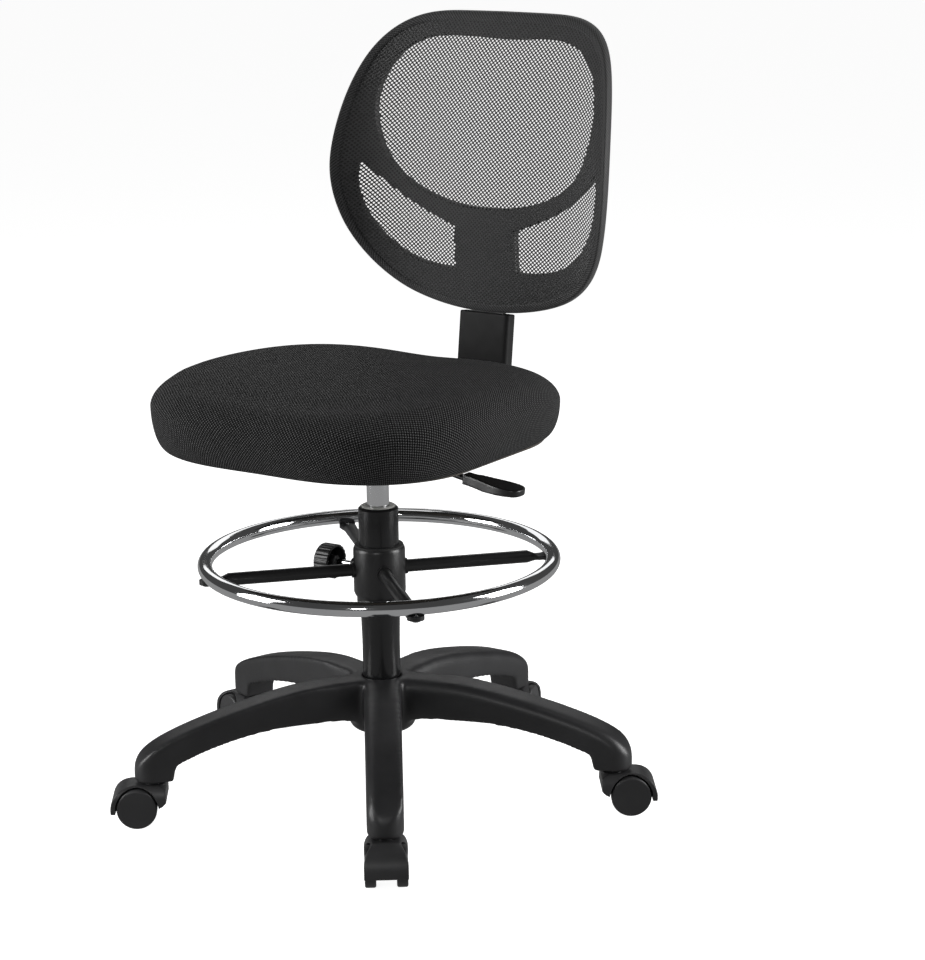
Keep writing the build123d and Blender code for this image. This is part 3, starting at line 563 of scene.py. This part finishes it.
A1, A2 = np.array([2.62, -2.74]), np.array([3.30, 2.58])
span = range(-130, 131)
ij = np.array([(i, j) for i in span for j in span])
corner = ij[:, :1] * A1 + ij[:, 1:] * A2 + np.array([0.0, 768.0])
centre = corner + (A1 + A2) / 2
ok = (np.abs(centre[:, 0]) < 215) & (centre[:, 1] > 570) & (centre[:, 1] < 965)
ij, corner, centre = ij[ok], corner[ok], centre[ok]
ok = inside(OUTLINE, centre)
ij, corner, centre = ij[ok], corner[ok], centre[ok]
ok = nearest(OUTLINE, centre) > 3.6
ij, corner, centre = ij[ok], corner[ok], centre[ok]
is_open = np.zeros(len(centre), bool)
for w in WINDOWS:
    is_open |= inside(w, centre) | (nearest(w, centre) < 1.6)

verts, index_of = [], {}


def point(key, xz, off):
    if key not in index_of:
        index_of[key] = len(verts)
        verts.append((xz[0], xz[1], off))
    return index_of[key]


faces, mat_index = [], []
ANG = np.radians([225, 270, 315, 0, 45, 90, 135, 180])
HOLE = 0.335
for (i, j), p, c, hole in zip(ij.tolist(), corner, centre, is_open):
    outer = [point(("c", i, j), p, -1.05),
             point(("a", i, j), p + A1 / 2, -0.85),
             point(("c", i + 1, j), p + A1, -1.05),
             point(("b", i + 1, j), p + A1 + A2 / 2, -0.80),
             point(("c", i + 1, j + 1), p + A1 + A2, -1.05),
             point(("a", i, j + 1), p + A2 + A1 / 2, -0.85),
             point(("c", i, j + 1), p + A2, -1.05),
             point(("b", i, j), p + A2 / 2, -0.80)]
    base = len(verts)
    for a in ANG:
        q = c + HOLE * (math.cos(a) * A1 + math.sin(a) * A2)
        verts.append((q[0], q[1], -0.45))
    ring = list(range(base, base + 8))
    for k in range(8):
        faces.append((outer[k], outer[(k + 1) % 8], ring[(k + 1) % 8], ring[k]))
        mat_index.append(0)
    # eyelets over the frame are closed with the mesh_shadow sheet, a painted shadow
    if not hole:
        faces.append(tuple(ring))
        mat_index.append(1)
va = np.array(verts)
pts = on_back(va[:, 0], va[:, 1], va[:, 2])
uvs = va[:, :2] / 1000.0

# rolled edge of the sleeve, from inside the front seam round to the back hem
n_line = 420
line = spline_closed(OUTLINE[::20], n_line)
tan = np.roll(line, -1, 0) - np.roll(line, 1, 0)
tan /= np.linalg.norm(tan, axis=1)[:, None]
inward = np.stack([tan[:, 1], -tan[:, 0]], 1)
if (inward * (np.array([0.0, 768.0]) - line)).sum() < 0:
    inward = -inward
prof = [(10.6, -1.0), (10.3, -1.55), (9.0, -1.75), (7.0, -1.7)]
for a in np.linspace(80, -80, 17):
    ca, sa = math.cos(math.radians(a)), math.sin(math.radians(a))
    prof.append((5.0 - 6.0 * abs(ca) ** 0.62, 7.0 - 8.6 * math.copysign(abs(sa) ** 0.8, sa)))
prof += [(7.5, 15.7), (11.0, 15.6), (13.6, 15.4), (14.2, 14.9), (14.3, 14.1)]
rows, prof_len = [], [0.0]
for (ia, ya), (ib, yb) in zip(prof, prof[1:]):
    prof_len.append(prof_len[-1] + math.hypot(ib - ia, yb - ya))
arc = np.concatenate([[0], np.cumsum(np.linalg.norm(np.roll(line, -1, 0) - line, axis=1))])
for ins, yo in prof:
    q = line + inward * ins
    rows.append(on_back(q[:, 0], q[:, 1], yo))
strip = np.concatenate(rows)
n_p = len(prof)
f2, uv2 = [], []
for r in range(n_p - 1):
    for c in range(n_line):
        d = (c + 1) % n_line
        f2.append((r * n_line + c, r * n_line + d, (r + 1) * n_line + d, (r + 1) * n_line + c))
for r in range(n_p):
    for c in range(n_line):
        uv2.append((arc[c] / 1000.0, prof_len[r] / 1000.0))
a_, b_, c_, d_ = (strip[i] for i in f2[3 * n_line])
if np.dot(np.cross(b_ - a_, c_ - a_), (0, -1, 0)) < 0:
    f2 = [f[::-1] for f in f2]

sheet = new_piece("back_mesh_cloth", pts, faces, ["back_mesh", "mesh_shadow"], "seat",
                  mat_index, uvs)
hem = new_piece("back_mesh_rolled_edge", strip, f2, ["back_hem"], "seat", None, uv2)
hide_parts("back_mesh")
flat_area = 0.1349

# stitches along the seam, just inside the rolled edge
sv, sf = [], []
total = arc[-1]
count = int(total / 4.4)
for k in range(count):
    s0 = k * total / count
    ends = []
    for s in (s0, s0 + 2.7):
        i = min(np.searchsorted(arc, s % total, side="right") - 1, n_line - 1)
        u = (s % total - arc[i]) / max(arc[i + 1] - arc[i], 1e-9)
        q = line[i] * (1 - u) + line[(i + 1) % n_line] * u
        iv = inward[i] * (1 - u) + inward[(i + 1) % n_line] * u
        ends.append((q + iv * 8.2, iv))
    (p0, w0), (p1, w1) = ends
    base = len(sv)
    for f_, off, wide in ((0.0, -1.55, 0.16), (0.15, -1.95, 0.36), (0.5, -2.1, 0.4),
                          (0.85, -1.95, 0.36), (1.0, -1.55, 0.16)):
        q = p0 * (1 - f_) + p1 * f_
        w = w0
        for a in range(6):
            an = a * math.pi / 3
            sv.append(on_back(q[0] + w[0] * wide * math.cos(an), q[1] + w[1] * wide * math.cos(an),
                              off + wide * math.sin(an)))
    for r in range(4):
        for a in range(6):
            b = (a + 1) % 6
            sf.append((base + r * 6 + a, base + r * 6 + b, base + r * 6 + 6 + b, base + r * 6 + 6 + a))
    sf.append(tuple(base + a for a in range(5, -1, -1)))
    sf.append(tuple(base + 24 + a for a in range(6)))
stitches = new_piece("back_seam_stitches", sv, sf, ["thread"], "seat")

# PIECES
# --------------------------------------------------------- moulded hard parts
HUB_BLEND = 0.075


def hub_weight(co):
    r = np.hypot(co[:, 0], co[:, 1])
    w = np.clip((HUB_BLEND + 0.02 - r) / 0.03, 0, 1) * np.clip((r - 0.029) / 0.006, 0, 1)
    return w * np.clip((co[:, 2] - 0.088) / 0.01, 0, 1)


soften("base_star", 0.0021, 26, "base_star_moulded", weight=hub_weight, extra=45)
soften("back_frame", 0.0022, 7, "back_frame_moulded")
soften("back_bar_cover", 0.0012, 6, "back_bar_cover_moulded")
for k in range(1, 6):
    soften(f"caster_{k}_housing", 0.0009, 5)
    for side in ("left", "right"):
        soften(f"caster_{k}_wheel_{side}", 0.0008, 4)
soften("lever_paddle", 0.0008, 8)
soften("clamp_knob", 0.0007, 4)

# ------------------------------------------------------------ seat cushion
# plan radius, waist and rim heights by angle from the front edge (millimetres)
SEAT_CY = -37.0
SHAPE = dict(r=(235.1, 1.1, -5.2, -1.0, -15.0, 0.0, 0.0), waist=(513.0, 8.5, -6.0),
             top=557.5, rim=(4.5, -12.5), m=4.9, q=1.85, low=(466.5, 0.0, -2.0), tuck=18.0)


def seat_points(th, t_up, t_dn, s=SHAPE):
    """Rings from the centre of the top out to the waist and down to the tuck."""
    R = sum(c * np.cos(i * th) for i, c in enumerate(s["r"]))
    ux, uy = np.sin(th), -np.cos(th)
    zm = sum(c * np.cos(i * th) for i, c in enumerate(s["waist"]))
    rim = s["rim"][0] * np.cos(th) + s["rim"][1] * np.cos(2 * th)
    rings = []
    for t in t_up:
        rho = math.sin(t * math.pi / 2) ** 0.7
        z = zm + (s["top"] - zm + rim * rho ** 2) * max(1 - rho ** s["m"], 0) ** (1 / s["q"])
        rings.append(np.stack([R * rho * ux, R * rho * uy + SEAT_CY, z], 1))
    zb = sum(c * np.cos(i * th) for i, c in enumerate(s["low"]))
    for t in t_dn:
        an = t * math.pi / 2
        r = R - s["tuck"] * (1 - math.cos(an))
        rings.append(np.stack([r * ux, r * uy + SEAT_CY, zm - (zm - zb) * math.sin(an)], 1))
    return rings


NT = 200
th = np.linspace(0, 2 * math.pi, NT, endpoint=False)
up = np.linspace(0, 1, 44)[1:]
dn = np.linspace(0, 1, 12)[1:]
rings = seat_points(th, up, dn)
# underside: the cloth turns in under the board and is stapled there
last = rings[-1]
for inset, z in ((6, 466.0), (14, 465.3), (26, 465.1), (38, 465.1), (39, 465.9)):
    c = np.array([0, SEAT_CY])
    d = last[:, :2] - c
    rr = np.linalg.norm(d, axis=1)[:, None]
    q = c + d * (rr - inset) / rr
    wav = 0.5 * np.sin(th * 46) * (inset > 5) * (inset < 39)
    rings.append(np.concatenate([q, (z + wav * 0.5)[:, None] if isinstance(wav, np.ndarray) else np.full((NT, 1), z)], 1))
cv = [np.array([[0, SEAT_CY, SHAPE["top"]]])] + rings
cv = np.concatenate(cv)
cf = [(0, 1 + (i + 1) % NT, 1 + i) for i in range(NT)]
for r in range(len(rings) - 1):
    a0, b0 = 1 + r * NT, 1 + (r + 1) * NT
    for i in range(NT):
        j = (i + 1) % NT
        cf.append((a0 + i, a0 + j, b0 + j, b0 + i))
n_up = len(up)


def swell(cv):
    """Soft rolls along the front and side edges, a hollow inside them, seat dish."""
    x, y, z = cv[:, 0], cv[:, 1] - SEAT_CY, cv[:, 2]
    ang = np.arctan2(x, -y)
    R = sum(c * np.cos(i * ang) for i, c in enumerate(SHAPE["r"]))
    rho = np.hypot(x, y) / R
    top = np.clip((z - 500) / 20, 0, 1)
    front = np.clip(np.cos(ang) * 1.4 + 0.35, 0, 1)
    side = np.exp(-((np.abs(ang) - 1.35) / 0.55) ** 2)
    roll = np.exp(-((rho - 0.885) / 0.05) ** 2)
    hollow = np.exp(-((rho - 0.75) / 0.075) ** 2)
    dz = top * (1.5 * roll - 2.3 * hollow) * np.maximum(front, 0.8 * side)
    # creases gathering at the two front corners
    for c0 in (0.78, -0.78):
        fan = np.exp(-((ang - c0) / 0.30) ** 2) * np.exp(-((rho - 0.84) / 0.12) ** 2)
        dz += top * 0.9 * fan * np.cos((ang - c0) * 34)
    cv = cv.copy()
    cv[:, 2] += dz
    return cv


cushion = new_piece("seat_cushion_cloth", swell(cv) / 1000.0, cf, ["seat_fabric"], "seat")


def relax_cloth(o, pinned, cap):
    """Inflates the cover a little under pressure; cap limits how far it moves."""
    me = o.data
    n_v = len(me.vertices)
    start = np.empty(n_v * 3)
    me.vertices.foreach_get("co", start)
    start = start.reshape(-1, 3)
    vg = o.vertex_groups.new(name="pin")
    vg.add([int(i) for i in np.nonzero(pinned)[0]], 1.0, "REPLACE")
    c = o.modifiers.new("cloth", "CLOTH")
    st = c.settings
    st.quality = 6
    st.mass = 0.35
    st.tension_stiffness = st.compression_stiffness = 30
    st.shear_stiffness = 12
    st.bending_stiffness = 4
    st.use_pressure = True
    st.uniform_pressure_force = 0.2
    st.vertex_group_mass = "pin"
    st.effector_weights.gravity = 0
    c.collision_settings.use_collision = False
    c.point_cache.frame_start, c.point_cache.frame_end = 1, 20
    for f in range(1, 21):
        S.frame_set(f)
    done = evaluated(o)
    co = np.empty(n_v * 3)
    done.vertices.foreach_get("co", co)
    co = co.reshape(-1, 3)
    d = co - start
    far = np.linalg.norm(d, axis=1)
    far95 = float(np.percentile(far, 95))
    o.modifiers.clear()
    scale = np.minimum(1.0, cap / np.maximum(far, 1e-9))
    co = start + d * scale[:, None]
    me.vertices.foreach_set("co", co.ravel())
    me.update()
    S.frame_set(1)
    print("cloth moved, 95th percentile, mm:", round(far95 * 1000, 2))


z0 = cv[:, 2]
inner = np.hypot(cv[:, 0], cv[:, 1] - SEAT_CY)
relax_cloth(cushion, z0 < 469.0, 0.004)

# cloth coordinates: lengths measured along the surface out from the middle
co = np.empty(len(cushion.data.vertices) * 3)
cushion.data.vertices.foreach_get("co", co)
co = co.reshape(-1, 3)
mid = np.array([0, SEAT_CY / 1000.0])
path = np.zeros(len(co))
prev = np.repeat(co[:1], NT, 0)
run = np.zeros(NT)
for r in range(len(rings)):
    cur = co[1 + r * NT:1 + (r + 1) * NT]
    run = run + np.linalg.norm(cur - prev, axis=1)
    path[1 + r * NT:1 + (r + 1) * NT] = run
    prev = cur
dirs = co[:, :2] - mid
dirs /= np.maximum(np.linalg.norm(dirs, axis=1), 1e-9)[:, None]
uv = dirs * path[:, None]
layer = cushion.data.uv_layers.new(name="cloth")
loops = np.empty(len(cushion.data.loops), np.int32)
cushion.data.loops.foreach_get("vertex_index", loops)
layer.data.foreach_set("uv", uv[loops].astype(np.float32).ravel())
sub = cushion.modifiers.new("fine", "SUBSURF")
sub.levels = sub.render_levels = 1
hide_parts("seat_cushion")
